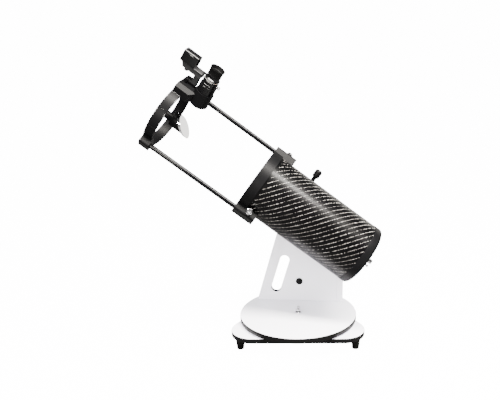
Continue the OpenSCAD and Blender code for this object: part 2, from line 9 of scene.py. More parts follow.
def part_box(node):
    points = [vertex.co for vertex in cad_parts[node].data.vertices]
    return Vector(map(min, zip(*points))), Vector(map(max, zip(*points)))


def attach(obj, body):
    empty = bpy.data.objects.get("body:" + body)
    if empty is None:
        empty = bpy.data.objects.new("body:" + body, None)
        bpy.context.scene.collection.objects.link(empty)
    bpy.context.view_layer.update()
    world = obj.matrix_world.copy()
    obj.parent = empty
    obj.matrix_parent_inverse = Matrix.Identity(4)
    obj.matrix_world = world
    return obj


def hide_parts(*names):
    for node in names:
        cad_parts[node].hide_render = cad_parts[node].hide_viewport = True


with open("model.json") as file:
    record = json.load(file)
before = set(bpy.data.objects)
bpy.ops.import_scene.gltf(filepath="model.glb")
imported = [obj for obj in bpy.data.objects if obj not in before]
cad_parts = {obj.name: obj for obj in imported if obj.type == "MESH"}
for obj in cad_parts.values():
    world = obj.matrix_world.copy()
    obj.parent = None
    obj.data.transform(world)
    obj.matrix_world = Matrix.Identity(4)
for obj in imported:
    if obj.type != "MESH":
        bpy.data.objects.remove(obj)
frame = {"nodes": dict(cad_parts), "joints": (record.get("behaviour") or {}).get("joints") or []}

bl_info = {
    "name": "Table-top Dobsonian telescope",
    "version": (1, 0, 0),
    "blender": (4, 5, 0),
    "location": "View3D > Sidebar > Telescope",
    "description": "Builds the visible pieces of a table-top Dobsonian telescope on its CAD frame",
    "category": "Object",
}

MM = 0.001
FULL_TURN = 2 * math.pi
# Strength that the camera sees as white paper, and the world's light on matt and on shiny surfaces
PAPER_WHITE = 15.0
MATT_FILL = 2.8
REFLECTED_FILL = 0.1
# Each light's name, place, aim, power, width and height
LIGHTS = (
    ("key", (0.75, -0.85, 2.48), (0.1, -0.05, 0.4), 560.0, 2.0, 0.5),
    ("front", (-0.5, -2.6, 1.2), (0.1, 0.0, 0.3), 65.0, 0.5, 0.5),
    ("card", (0.735, 1.095, 0.68), (-0.22, -0.06, 0.65), 5.0, 0.8, 0.8),
)
# Camera: beside and in front of the azimuth axis, height, angles in degrees, focal length and shift
CAMERA_SIDE = 0.13863
CAMERA_BACK = 1.57264
CAMERA_HEIGHT = 0.8149
CAMERA_DIP = 15.98
CAMERA_TURN = 3.93
CAMERA_LENS = 39.42
CAMERA_SHIFT = (-0.1161, 0.0456)


# ---------- Sizes and colours ----------
def length(name, millimetres):
    return FloatProperty(name=name, default=millimetres * MM, unit="LENGTH", precision=5)


def colour(name, rgb):
    return FloatVectorProperty(name=name, subtype="COLOR", size=3, min=0, max=1, default=rgb)


class TelescopeSizes(bpy.types.PropertyGroup):
    tube_radius: length("Tube radius", 92.5)
    tube_wall: length("Tube wall", 1.5)
    tube_front: length("Tube front, from the altitude axis", 146)
    tube_rear: length("Tube rear, from the altitude axis", -232)
    collar_back: length("Rear edge of the plain band behind the collar", 112)
    cap_front: length("Front edge of the rear cap", -216)
    streak_spacing: length("Spacing of the painted streaks", 12.22)
    streak_width: length("Width of a painted streak", 0.95)
    strut_radius: length("Strut radius", 7)
    strut_reach: length("Strut axis from the tube axis", 104.6)
    strut_angle: FloatProperty(name="Strut angle", default=-36)
    lock_x: length("Lock screws, from the altitude axis", 106)
    lock_turn_upper: FloatProperty(name="Upper lock screw turn", default=-40)
    lock_turn_lower: FloatProperty(name="Lower lock screw turn", default=-90)
    focuser_x: length("Focuser axis, from the altitude axis", 392)
    focuser_angle: FloatProperty(name="Focuser angle", default=16)
    finder_shift: length("Finder, beside the focuser's plane", -16)
    screw_reach: length("Collimation screws from the tube axis", 62)
    edge_round: length("Rounding of board edges", 1.2)
    round_steps: IntProperty(name="Steps of a small turned piece", default=48)
    tube_steps: IntProperty(name="Steps of a large turned piece", default=128)


class TelescopeColours(bpy.types.PropertyGroup):
    laminate: colour("Laminate", (0.88, 0.87, 0.93))
    banding: colour("Edge band", (0.002, 0.002, 0.0023))
    tube_black: colour("Tube paint", (0.0006, 0.0006, 0.0008))
    streak: colour("Painted streaks", (0.55, 0.52, 0.49))
    plastic: colour("Black plastic", (0.003, 0.003, 0.0033))
    grey_plastic: colour("Grey plastic", (0.007, 0.007, 0.008))
    rubber: colour("Rubber", (0.002, 0.002, 0.002))
    anodised: colour("Black anodising", (0.002, 0.002, 0.0024))
    chrome: colour("Chrome", (0.78, 0.78, 0.8))
    steel: colour("Steel", (0.5, 0.5, 0.52))
    nylon: colour("Nylon", (0.78, 0.76, 0.7))
    glass: colour("Lens glass", (0.72, 0.8, 0.86))
    mirror: colour("Mirror", (0.9, 0.91, 0.93))
    floor: colour("Floor", (0.1, 0.1, 0.1))


def sizes():
    return bpy.context.scene.telescope_sizes


def colours():
    return bpy.context.scene.telescope_colours


# ---------- Places, taken from the frame ----------
def joint(name):
    return next(j for j in frame["joints"] if j["name"] == name)


def middle(node):
    low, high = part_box(node)
    return (low + high) / 2


def tube_place():
    """Tube frame: X along the tube towards the sky, Y towards the open side, Z up."""
    along = Vector(joint("balance_slide")["axis"]).normalized()
    side = Vector((0, -1, 0))
    up = along.cross(side)
    pivot = Vector(joint("altitude")["pos_m"])
    origin = Vector((pivot.x, middle("main_tube").y, pivot.z))
    place = Matrix((along, side, up)).transposed().to_4x4()
    return Matrix.Translation(origin) @ place


def about_tube(angle, x=0.0, w=0.0, h=0.0):
    """Place on the tube turned by an angle in degrees: X along, Z outwards, at (x, w, h)."""
    return tube_place() @ Matrix.Rotation(math.radians(-angle), 4, "X") @ Matrix.Translation((x, w, h))


def turned(matrix, degrees, axis):
    return matrix @ Matrix.Rotation(math.radians(degrees), 4, axis)


# ---------- Modelling helpers ----------
def only(piece):
    bpy.ops.object.select_all(action="DESELECT")
    piece.select_set(True)
    bpy.context.view_layer.objects.active = piece


def start(kind, name, **options):
    bpy.ops.object.select_all(action="DESELECT")
    getattr(bpy.ops.mesh, "primitive_" + kind + "_add")(**options)
    piece = bpy.context.object
    piece.name = "seen_" + name.replace(" ", "_")
    piece.data.name = piece.name
    return piece


def edit(piece, mode="FACE"):
    only(piece)
    bpy.ops.object.mode_set(mode="EDIT")
    bpy.ops.mesh.select_mode(type=mode)


def done():
    bpy.ops.object.mode_set(mode="OBJECT")


def pick(piece, test):
    """Select the faces whose centre and normal pass the test, and open edit mode on them."""
    edit(piece)
    bpy.ops.mesh.select_all(action="DESELECT")
    done()
    for face in piece.data.polygons:
        face.select = bool(test(face.center, face.normal))
    if not any(face.select for face in piece.data.polygons):
        raise RuntimeError("no face of %s was picked" % piece.name)
    edit(piece)


def modify(piece, kind, **settings):
    only(piece)
    modifier = piece.modifiers.new(kind.title(), kind)
    for key, value in settings.items():
        setattr(modifier, key, value)
    bpy.ops.object.modifier_apply(modifier=modifier.name)


def round_edges(piece, width, segments=2, angle=35):
    modify(piece, "BEVEL", width=width, segments=segments, limit_method="ANGLE",
           angle_limit=math.radians(angle), harden_normals=False)


def lathe(name, profile, steps, ring=False):
    """Turn a profile of (radius, height) points in millimetres about Z."""
    points = [Vector((r * MM, 0, z * MM)) for r, z in profile]
    if ring:
        points.append(points[0])
    piece = start("plane", name, size=MM)
    edit(piece, "VERT")
    bpy.ops.mesh.select_all(action="SELECT")
    bpy.ops.mesh.merge(type="CENTER")
    bpy.ops.transform.translate(value=points[0])
    for last, here in zip(points, points[1:]):
        bpy.ops.mesh.extrude_region_move(TRANSFORM_OT_translate={"value": here - last})
    bpy.ops.mesh.select_all(action="SELECT")
    bpy.ops.mesh.spin(steps=steps, angle=FULL_TURN, center=(0, 0, 0), axis=(0, 0, 1))
    bpy.ops.mesh.select_all(action="SELECT")
    bpy.ops.mesh.remove_doubles(threshold=1e-6)
    bpy.ops.mesh.normals_make_consistent(inside=False)
    done()
    return piece


def sector(point, count):
    """Which of count equal sectors about Z a point lies in."""
    return int((math.atan2(point.y, point.x) / FULL_TURN + 1) * count + 1e-6) % count


def flute(piece, low, high, depth, every=3, columns=48, least=0.0):
    """Press every so-many face columns of a turned piece inwards between two heights."""
    pick(piece, lambda c, n: low * MM < c.z < high * MM and abs(n.z) < 0.3
         and n.x * c.x + n.y * c.y > 0 and Vector((c.x, c.y)).length > least * MM
         and sector(c, columns) % every == 0)
    bpy.ops.mesh.inset(thickness=0.0001, depth=0)
    bpy.ops.transform.shrink_fatten(value=-depth * MM)
    done()


def sink(piece, test, inset, depth):
    """Inset the picked faces and push them along their normals."""
    pick(piece, test)
    bpy.ops.mesh.inset(thickness=inset * MM, depth=depth * MM)
    done()


def join(first, *others):
    bpy.ops.object.select_all(action="DESELECT")
    for piece in (first, *others):
        piece.select_set(True)
    bpy.context.view_layer.objects.active = first
    bpy.ops.object.join()
    return first


def cut_away(piece, tool):
    """Take the tool's shape out of the piece and drop the tool."""
    modify(piece, "BOOLEAN", object=tool, operation="DIFFERENCE", solver="EXACT")
    only(tool)
    bpy.ops.object.delete()


def block(name, low, high):
    """Box between two corners in millimetres."""
    low, high = Vector(low) * MM, Vector(high) * MM
    piece = start("cube", name, size=1)
    edit(piece, "VERT")
    bpy.ops.mesh.select_all(action="SELECT")
    bpy.ops.transform.resize(value=high - low, center_override=(0, 0, 0))
    bpy.ops.transform.translate(value=(low + high) / 2)
    done()
    return piece


def finish(piece, place, body, slot, material, *nodes, smooth=32):
    """Put a finished piece in its place, on its body, standing for its CAD nodes."""
    only(piece)
    piece.matrix_world = place @ piece.matrix_world
    bpy.ops.object.transform_apply(location=True, rotation=True, scale=True)
    edit(piece, "VERT")
    bpy.ops.mesh.select_all(action="SELECT")
    bpy.ops.mesh.remove_doubles(threshold=1e-6)
    bpy.ops.mesh.normals_make_consistent(inside=False)
    done()
    bpy.ops.object.shade_smooth_by_angle(angle=math.radians(smooth))
    if material is not None:
        piece.data.materials.clear()
        piece.data.materials.append(material)
    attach(piece, body)
    if nodes:
        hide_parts(*nodes)
    return piece


def second_material(piece, material, test):
    """Give the faces that pass the test a second material, before the piece is placed."""
    piece.data.materials.append(material)
    last = len(piece.data.materials) - 1
    for face in piece.data.polygons:
        if test(face.center, face.normal):
            face.material_index = last


# ---------- Materials ----------
def node(tree, kind, inputs=None, **settings):
    made = tree.nodes.new("ShaderNode" + kind)
    for key, value in settings.items():
        setattr(made, key, value)
    for key, value in (inputs or {}).items():
        if isinstance(value, bpy.types.NodeSocket):
            tree.links.new(value, made.inputs[key])
        else:
            made.inputs[key].default_value = value
    return made


def maths(tree, operation, first, second=0.0, third=0.0):
    return node(tree, "Math", {0: first, 1: second, 2: third}, operation=operation).outputs[0]


def group(name, inputs, outputs):
    """New node group with its sockets, its input node and its output node."""
    tree = bpy.data.node_groups.new(name, "ShaderNodeTree")
    for label, kind in inputs:
        tree.interface.new_socket(label, in_out="INPUT", socket_type="NodeSocket" + kind)
    for label, kind in outputs:
        tree.interface.new_socket(label, in_out="OUTPUT", socket_type="NodeSocket" + kind)
    return tree, tree.nodes.new("NodeGroupInput"), tree.nodes.new("NodeGroupOutput")


def use(tree, name, inputs):
    return node(tree, "Group", inputs, node_tree=bpy.data.node_groups[name])


def make_groups():
    # Colour that drifts lighter and darker over a surface
    tree, given, result = group(
        "Uneven tone",
        [("Vector", "Vector"), ("Color", "Color"), ("Scale", "Float"), ("Amount", "Float")],
        [("Color", "Color")])
    cloud = node(tree, "TexNoise", {"Vector": given.outputs["Vector"], "Scale": given.outputs["Scale"],
                                    "Detail": 5.0, "Roughness": 0.6})
    shift = maths(tree, "MULTIPLY_ADD", maths(tree, "SUBTRACT", cloud.outputs["Fac"], 0.5),
                  given.outputs["Amount"], 1.0)
    tone = node(tree, "HueSaturation", {"Value": shift, "Color": given.outputs["Color"]})
    tree.links.new(tone.outputs["Color"], result.inputs["Color"])

    # Roughness that varies with handling marks
    tree, given, result = group(
        "Handled roughness",
        [("Vector", "Vector"), ("Base", "Float"), ("Spread", "Float"), ("Scale", "Float")],
        [("Roughness", "Float")])
    marks = node(tree, "TexNoise", {"Vector": given.outputs["Vector"], "Scale": given.outputs["Scale"],
                                    "Detail": 6.0, "Roughness": 0.7, "Distortion": 0.4})
    centred = maths(tree, "SUBTRACT", marks.outputs["Fac"], 0.5)
    rough = maths(tree, "MULTIPLY_ADD", centred, given.outputs["Spread"], given.outputs["Base"])
    tree.links.new(maths(tree, "MAXIMUM", rough, 0.02), result.inputs["Roughness"])

    # Fine relief: moulded grain, orange peel or a brushed lay, by the vector's stretch
    tree, given, result = group(
        "Fine relief",
        [("Vector", "Vector"), ("Scale", "Float"), ("Strength", "Float"), ("Depth", "Float")],
        [("Normal", "Vector")])
    grain = node(tree, "TexNoise", {"Vector": given.outputs["Vector"], "Scale": given.outputs["Scale"],
                                    "Detail": 3.0, "Roughness": 0.5})
    bump = node(tree, "Bump", {"Height": grain.outputs["Fac"], "Strength": given.outputs["Strength"],
                               "Distance": given.outputs["Depth"]})
    tree.links.new(bump.outputs["Normal"], result.inputs["Normal"])

    # Sparse specks of dust
    tree, given, result = group(
        "Dust specks",
        [("Vector", "Vector"), ("Scale", "Float"), ("Cover", "Float")],
        [("Mask", "Float")])
    cells = node(tree, "TexVoronoi", {"Vector": given.outputs["Vector"], "Scale": given.outputs["Scale"]})
    speck = maths(tree, "LESS_THAN", cells.outputs["Distance"], given.outputs["Cover"])
    tree.links.new(speck, result.inputs["Mask"])


def coated(name, rgb, roughness, metallic=0.0, tone=0.25, spread=0.12, mark_scale=60.0,
           grain=900.0, relief=0.15, depth=0.00015, stretch=(1, 1, 1), dust=0.0, **extra):
    """Opaque material: uneven tone, handled roughness, fine relief and a little dust."""
    material = bpy.data.materials.new(name)
    material.use_nodes = True
    tree = material.node_tree
    shader = tree.nodes["Principled BSDF"]
    place = node(tree, "TexCoord").outputs["Object"]
    lay = node(tree, "Mapping", {"Vector": place, "Scale": stretch}).outputs["Vector"]
    base = use(tree, "Uneven tone", {"Vector": place, "Color": (*rgb, 1), "Scale": mark_scale,
                                     "Amount": tone})
    colour_out = base.outputs["Color"]
    if dust:
        specks = use(tree, "Dust specks", {"Vector": place, "Scale": 700.0, "Cover": dust})
        mixed = node(tree, "Mix", {"Factor": specks.outputs["Mask"], "A": colour_out,
                                   "B": (0.35, 0.35, 0.36, 1)}, data_type="RGBA")
        colour_out = mixed.outputs[2]
    tree.links.new(colour_out, shader.inputs["Base Color"])
    rough = use(tree, "Handled roughness", {"Vector": lay, "Base": roughness, "Spread": spread,
                                            "Scale": mark_scale * 1.7})
    tree.links.new(rough.outputs["Roughness"], shader.inputs["Roughness"])
    fine = use(tree, "Fine relief", {"Vector": lay, "Scale": grain, "Strength": relief, "Depth": depth})
    tree.links.new(fine.outputs["Normal"], shader.inputs["Normal"])
    shader.inputs["Metallic"].default_value = metallic
    for key, value in extra.items():
        shader.inputs[key.replace("_", " ")].default_value = value
    return material


def streaked_paint():
    """Gloss black paint with rows of broken light streaks that wind round the tube."""
    size, tint = sizes(), colours()
    material = bpy.data.materials.new("Streaked paint")
    material.use_nodes = True
    tree = material.node_tree
    shader = tree.nodes["Principled BSDF"]
    tube = tube_place()
    place = node(tree, "TexCoord").outputs["Object"]
    local = node(tree, "Mapping", {"Vector": place, "Location": tube.translation,
                                   "Rotation": tube.to_euler()}, vector_type="TEXTURE")
    parts = node(tree, "SeparateXYZ", {"Vector": local.outputs["Vector"]})
    x, y, z = parts.outputs
    arc = maths(tree, "MULTIPLY", maths(tree, "ARCTAN2", y, z), size.tube_radius)
    # Streak direction on the unrolled wall: back along the tube while it climbs
    back, climb = 0.61, 0.7924
    run = maths(tree, "ADD", maths(tree, "MULTIPLY", x, back), maths(tree, "MULTIPLY", arc, climb))
    across = maths(tree, "ADD", maths(tree, "MULTIPLY", x, -climb), maths(tree, "MULTIPLY", arc, back))
    wander = node(tree, "TexNoise", {"Vector": local.outputs["Vector"], "Scale": 90.0, "Detail": 2.0})
    across = maths(tree, "MULTIPLY_ADD", wander.outputs["Fac"], 0.0012, across)
    row = maths(tree, "DIVIDE", across, size.streak_spacing)
    number = maths(tree, "FLOOR", row)
    offset = maths(tree, "ABSOLUTE", maths(tree, "SUBTRACT", maths(tree, "SUBTRACT", row, number), 0.5))
    # Length of the dashes: a noise along the run, different in each row
    spot = node(tree, "CombineXYZ", {"X": run, "Y": maths(tree, "MULTIPLY", number, 0.37)})
    dash = node(tree, "TexNoise", {"Vector": spot.outputs[0], "Scale": 330.0, "Detail": 3.0,
                                   "Roughness": 0.75})
    gate = node(tree, "MapRange", {"Value": dash.outputs["Fac"], "From Min": 0.45, "From Max": 0.56})
    bright = node(tree, "TexNoise", {"Vector": spot.outputs[0], "Scale": 38.0, "Detail": 1.0})
    level = node(tree, "MapRange", {"Value": bright.outputs["Fac"], "From Min": 0.3, "From Max": 0.68,
                                    "To Min": 0.3, "To Max": 1.0})
    half = size.streak_width / size.streak_spacing / 2
    width = maths(tree, "MULTIPLY_ADD", gate.outputs[0], half, half * 0.25)
    line = node(tree, "MapRange", {"Value": maths(tree, "SUBTRACT", offset, width),
                                   "From Min": -0.02, "From Max": 0.012, "To Min": 1.0, "To Max": 0.0})
    inside = maths(tree, "MULTIPLY", maths(tree, "LESS_THAN", x, size.collar_back),
                   maths(tree, "GREATER_THAN", x, size.cap_front))
    mask = maths(tree, "MULTIPLY", maths(tree, "MULTIPLY", line.outputs[0], level.outputs[0]),
                 maths(tree, "MULTIPLY", inside, gate.outputs[0]))
    base = use(tree, "Uneven tone", {"Vector": place, "Color": (*tint.tube_black, 1), "Scale": 25.0,
                                     "Amount": 0.4})
    mixed = node(tree, "Mix", {"Factor": mask, "A": base.outputs["Color"], "B": (*tint.streak, 1)},
                 data_type="RGBA")
    tree.links.new(mixed.outputs[2], shader.inputs["Base Color"])
    rough = use(tree, "Handled roughness", {"Vector": place, "Base": 0.34, "Spread": 0.12, "Scale": 45.0})
    tree.links.new(rough.outputs["Roughness"], shader.inputs["Roughness"])
    peel = use(tree, "Fine relief", {"Vector": place, "Scale": 420.0, "Strength": 0.08, "Depth": 0.0002})
    tree.links.new(peel.outputs["Normal"], shader.inputs["Normal"])
    shader.inputs["Specular IOR Level"].default_value = 0.09
    shader.inputs["Coat Weight"].default_value = 0.04
    shader.inputs["Coat Roughness"].default_value = 0.12
    return material


def clear_glass():
    """Coated lens glass with faint smears."""
    material = coated("Coated glass", colours().glass, 0.06, tone=0.1, spread=0.08, mark_scale=120.0,
                      grain=300.0, relief=0.02, IOR=1.5, Transmission_Weight=0.85, Coat_Weight=0.5)
    return material


def make_materials():
    tint = colours()
    coated("Laminate", tint.laminate, 0.42, tone=0.05, spread=0.1, mark_scale=14.0, grain=1500.0,
           relief=0.06, depth=0.0001, Specular_IOR_Level=0.45)
    coated("Edge band", tint.banding, 0.45, tone=0.4, grain=700.0, relief=0.12, dust=0.01,
           Specular_IOR_Level=0.1)
    coated("Black plastic", tint.plastic, 0.42, tone=0.4, grain=1100.0, relief=0.22, dust=0.008,
           Specular_IOR_Level=0.06)
    coated("Gloss plastic", tint.plastic, 0.14, tone=0.3, grain=500.0, relief=0.05, Specular_IOR_Level=0.2,
           Coat_Weight=0.1)
    coated("Grey plastic", tint.grey_plastic, 0.55, tone=0.35, grain=1500.0, relief=0.5, depth=0.0003)
    coated("Rubber", tint.rubber, 0.6, tone=0.5, grain=1300.0, relief=0.3, dust=0.01,
           Specular_IOR_Level=0.1)
    coated("Black anodising", tint.anodised, 0.13, tone=0.35, spread=0.05, grain=1800.0, relief=0.03,
           Specular_IOR_Level=0.12)
    coated("Chrome", tint.chrome, 0.12, metallic=1.0, tone=0.12, spread=0.1, mark_scale=150.0,
           grain=600.0, relief=0.05)
    coated("Steel", tint.steel, 0.32, metallic=1.0, tone=0.2, spread=0.2, mark_scale=90.0,
           grain=900.0, relief=0.2, stretch=(1, 1, 9))
    coated("Nylon", tint.nylon, 0.5, tone=0.12, grain=800.0, relief=0.1, Subsurface_Weight=0.1,
           Subsurface_Scale=0.003)
    coated("Mirror", tint.mirror, 0.03, metallic=1.0, tone=0.04, spread=0.02, mark_scale=30.0,
           grain=50.0, relief=0.0)
    coated("Lampblack", (0.008, 0.008, 0.008), 0.85, tone=0.5, grain=900.0, relief=0.4)
    clear_glass()
    streaked_paint()


def material(name):
    return bpy.data.materials[name]


# ---------- Operators: one per piece or group of like pieces ----------
class PieceOperator:
    bl_options = {"REGISTER", "UNDO"}

    def execute(self, context):
        self.build(sizes())
        return {"FINISHED"}


class SCOPE_OT_materials(PieceOperator, bpy.types.Operator):
    """Make the node groups and materials, and finish the CAD nodes that are kept"""
    bl_idname = "scope.materials"
    bl_label = "Materials"

    kept = {
        "Black plastic": ["front_collar", "upper_ring", "secondary_holder", "focuser_housing",
                          "finder_shoe"],
        "Grey plastic": ["finder_bracket"],
        "Black anodising": ["saddle", "dovetail_bar", "secondary_stalk"],
        "Steel": ["saddle_jaw", "mirror_cell", "mirror_clips", "foot_screws", "arm_screws", "altitude_bolt",
                  "azimuth_bolt"],
        "Nylon": ["bearing_pads", "azimuth_bush", "altitude_bush", "friction_disc"],
        "Mirror": ["primary_mirror", "secondary_mirror"],
        "Chrome": ["secondary_screws", "eyepiece_barrel"],
        "Rubber": ["arm_cap"],
    }

    def build(self, size):
        make_groups()
        make_materials()
        for name, members in self.kept.items():
            for member in members:
                mesh = frame["nodes"][member].data
                mesh.materials.clear()
                mesh.materials.append(material(name))


class SCOPE_OT_ground_board(PieceOperator, bpy.types.Operator):
    """Three-lobed ground board with its edge band"""
    bl_idname = "scope.ground_board"
    bl_label = "Ground board"

    def build(self, size):
        low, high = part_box("ground_edge")
        axis = Vector(joint("azimuth")["pos_m"])
        thick, bolt = high.z - low.z, 4.06 * MM
        lobe_out, lobe_round = 154 * MM, 67 * MM
        lobes = []
        for foot in ("foot_back", "foot_left", "foot_right"):
            out = middle(foot) - axis
            out.z = 0
            centre = axis + out.normalized() * lobe_out
            centre.z = low.z + thick / 2
            lobes.append(start("cylinder", "ground board", radius=lobe_round, depth=thick, vertices=96,
                               location=centre))
        piece = join(*lobes)
        edit(piece, "VERT")
        bpy.ops.mesh.select_all(action="SELECT")
        bpy.ops.mesh.convex_hull()
        bpy.ops.mesh.dissolve_limited(angle_limit=math.radians(0.5))
        done()
        drill = start("cylinder", "drill", radius=bolt, depth=0.1, location=(axis.x, axis.y, low.z))
        cut_away(piece, drill)
        round_edges(piece, size.edge_round, 3)
        piece.data.materials.append(material("Laminate"))
        second_material(piece, material("Edge band"), lambda c, n: abs(n.z) < 0.8)
        finish(piece, Matrix.Identity(4), "ground", "laminate", None, "ground_board", "ground_edge")


class SCOPE_OT_turntable(PieceOperator, bpy.types.Operator):
    """Round turntable with its edge band"""
    bl_idname = "scope.turntable"
    bl_label = "Turntable"

    def build(self, size):
        low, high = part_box("turntable_edge")
        axis = Vector(joint("azimuth")["pos_m"])
        r = (high.x - low.x) / 2 / MM
        t = (high.z - low.z) / MM
        piece = lathe("turntable", [
            (8, 0), (r - 1.6, 0), (r - 0.5, 0.4), (r, 1.5), (r, t - 1.5), (r - 0.5, t - 0.4), (r - 1.6, t),
            (8, t)], size.tube_steps, ring=True)
        piece.data.materials.append(material("Laminate"))
        second_material(piece, material("Edge band"), lambda c, n: abs(n.z) < 0.9 and c.xy.length > 0.1)
        finish(piece, Matrix.Translation((axis.x, axis.y, low.z)), "rocker", "laminate", None,
               "turntable", "turntable_edge")


class SCOPE_OT_arm(PieceOperator, bpy.types.Operator):
    """Arm board with its hand hole, and the short stiffening board behind it"""
    bl_idname = "scope.arm"
    bl_label = "Arm boards"

    def build(self, size):
        low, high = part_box("arm_board")
        pivot = Vector(joint("altitude")["pos_m"])
        left, right = (low.x - pivot.x) / MM, (high.x - pivot.x) / MM
        head_round = 40
        rise = (high.z - low.z) / MM - head_round
        thick = high.y - low.y
        lie = turned(Matrix.Translation((pivot.x, (low.y + high.y) / 2, low.z)), 90, "X")
        base = block("arm board", (left, 0, -thick / MM / 2), (right, 10, thick / MM / 2))
        shoulder = block("shoulder", (right - 20, 0, -thick / MM / 2), (right, 150, thick / MM / 2))
        head = start("cylinder", "head", radius=head_round * MM, depth=thick, vertices=128,
                     location=(0, rise * MM, 0))
        piece = join(base, shoulder, head)
        edit(piece, "VERT")
        bpy.ops.mesh.select_all(action="SELECT")
        bpy.ops.mesh.convex_hull()
        bpy.ops.mesh.dissolve_limited(angle_limit=math.radians(0.5))
        done()
        hole_round, hole_ends = 15.5, ((-80, 45), (-51, 140))
        ends = [start("cylinder", "hole end", radius=hole_round * MM, depth=0.1, vertices=64,
                      location=Vector((x, y, 0)) * MM) for x, y in hole_ends]
        hole = join(*ends)
        edit(hole, "VERT")
        bpy.ops.mesh.select_all(action="SELECT")
        bpy.ops.mesh.convex_hull()
        done()
        cut_away(piece, hole)
        # Screw cap's well, and the altitude bush's bore
        for x, y, r in ((-4, 68, 9), (0, rise, 8)):
            cut_away(piece, start("cylinder", "drill", radius=r * MM, depth=0.1, vertices=48,
                                  location=Vector((x, y, 0)) * MM))
        round_edges(piece, size.edge_round, 3)
        piece.data.materials.append(material("Laminate"))
        # The hand hole's wall is coloured black with the edge-band material
        second_material(piece, material("Edge band"), lambda c, n: abs(n.z) < 0.3 and abs(c.z) < thick
                        and -97 * MM < c.x < -34 * MM and 28 * MM < c.y < 157 * MM)
        finish(piece, lie, "rocker", "laminate", None, "arm_board")

        low, high = (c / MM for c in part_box("arm_stiffener"))
        rail = block("arm stiffener", low, high)
        round_edges(rail, size.edge_round, 3)
        finish(rail, Matrix.Identity(4), "rocker", "laminate", material("Laminate"), "arm_stiffener")


class SCOPE_OT_feet(PieceOperator, bpy.types.Operator):
    """Three tapered rubber feet with a rim and a screw well"""
    bl_idname = "scope.feet"
    bl_label = "Feet"

    def build(self, size):
        for name in ("foot_back", "foot_left", "foot_right"):
            low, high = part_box(name)
            centre = (low + high) / 2
            t = (high.z - low.z) / MM
            piece = lathe(name.replace("_", " "), [
                (0, 8), (5.4, 8), (6, 7.4), (6, 0.6), (6.6, 0), (9.6, 0), (10.5, 0.9), (11.4, 9),
                (11.2, 9.4), (11.2, 10.2), (11.5, 10.6), (14.2, t - 4.2), (14.9, t - 3.8), (14.9, t - 0.6),
                (14.4, t), (0, t)], size.round_steps)
            finish(piece, Matrix.Translation((centre.x, centre.y, low.z)), "ground", "rubber",
                   material("Rubber"), name)


class SCOPE_OT_azimuth_fasteners(PieceOperator, bpy.types.Operator):
    """Washer and chamfered hexagon nut on the azimuth bolt"""
    bl_idname = "scope.azimuth_fasteners"
    bl_label = "Azimuth nut and washer"

    def build(self, size):
        axis = Vector(joint("azimuth")["pos_m"])
        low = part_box("azimuth_washer")[0]
        washer = lathe("azimuth washer", [(4.1, 0), (12.4, 0), (13, 0.5), (13, 1.4), (12.4, 2), (4.1, 2)],
                       size.round_steps, ring=True)
        finish(washer, Matrix.Translation((axis.x, axis.y, low.z)), "ground", "chrome", material("Chrome"),
               "azimuth_washer")
        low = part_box("azimuth_nut")[0]
        nut = start("cylinder", "azimuth nut", vertices=6, radius=9.5 * MM, depth=8 * MM,
                    location=(0, 0, 4 * MM), rotation=(0, 0, math.radians(30)))
        bpy.ops.object.transform_apply(location=True, rotation=True, scale=True)
        modify(nut, "BEVEL", width=0.9 * MM, segments=3, limit_method="ANGLE", angle_limit=math.radians(50))
        cut_away(nut, start("cylinder", "drill", radius=4.1 * MM, depth=0.05, vertices=48))
        finish(nut, Matrix.Translation((axis.x, axis.y, low.z)) @ Matrix.Rotation(math.radians(30), 4, "Z"),
               "ground", "chrome", material("Chrome"), "azimuth_nut", smooth=25)


class SCOPE_OT_main_tube(PieceOperator, bpy.types.Operator):
    """Rolled sheet tube, painted outside and blackened inside"""
    bl_idname = "scope.main_tube"
    bl_label = "Main tube"

    def build(self, size):
        r, wall = size.tube_radius / MM, size.tube_wall / MM
        back, front = size.tube_rear / MM, size.tube_front / MM
        stations = [back + (front - back) * i / 12 for i in range(13)]
        outer = [(r, z) for z in stations[1:-1]]
        profile = [(r - wall, back + 0.5), (r - wall + 0.4, back), (r - 0.4, back), (r, back + 0.5), *outer,
                   (r, front - 0.5), (r - 0.4, front), (r - wall + 0.4, front), (r - wall, front - 0.5)]
        piece = lathe("main tube", profile, size.tube_steps, ring=True)
        piece.data.materials.append(material("Streaked paint"))
        second_material(piece, material("Lampblack"), lambda c, n: n.x * c.x + n.y * c.y < -0.01 * MM)
        finish(piece, turned(tube_place(), 90, "Y"), "tube", "tube_black", None, "main_tube")


class SCOPE_OT_rear_cap(PieceOperator, bpy.types.Operator):
    """Moulded rear cap with a stepped rim and screw wells"""
    bl_idname = "scope.rear_cap"
    bl_label = "Rear cap"

    def build(self, size):
        # Outer face of the cap, from the altitude axis
        back = -244.0
        r = size.tube_radius / MM
        profile = [
            (r + 1, back + 27.4), (r + 1, back + 9), (r + 0.2, back + 6.4), (r - 2, back + 3.4),
            (r - 6.5, back + 0.4), (r - 9, back), (74, back), (73, back + 0.8), (70, back + 0.8), (69, back),
            (36, back), (35, back + 0.8), (32, back + 0.8), (31, back), (30, back + 0.8), (30, back + 3.4),
            (30.6, back + 4), (r - 8, back + 4), (r - 2, back + 10), (r - 2, back + 11.9),
            (r + 0.06, back + 11.9), (r + 0.06, back + 27.6), (r + 0.6, back + 28)]
        piece = lathe("rear cap", profile, size.tube_steps, ring=True)
        place = turned(tube_place(), 90, "Y")
        only(piece)
        for spin, radius in ((0, 3.3), (14, 2.4)):
            for angle in (75, 195, 315):
                turn = math.radians(angle + spin)
                # After the quarter turn about Y, the profile's X runs down and its Y stays sideways
                where = Vector((-math.cos(turn), math.sin(turn), 0)) * size.screw_reach
                where.z = (back + 2) * MM
                cut_away(piece, start("cylinder", "drill", radius=radius * MM, depth=0.02, vertices=32,
                                      location=where))
        finish(piece, place, "tube", "black_plastic", material("Black plastic"), "rear_cap")


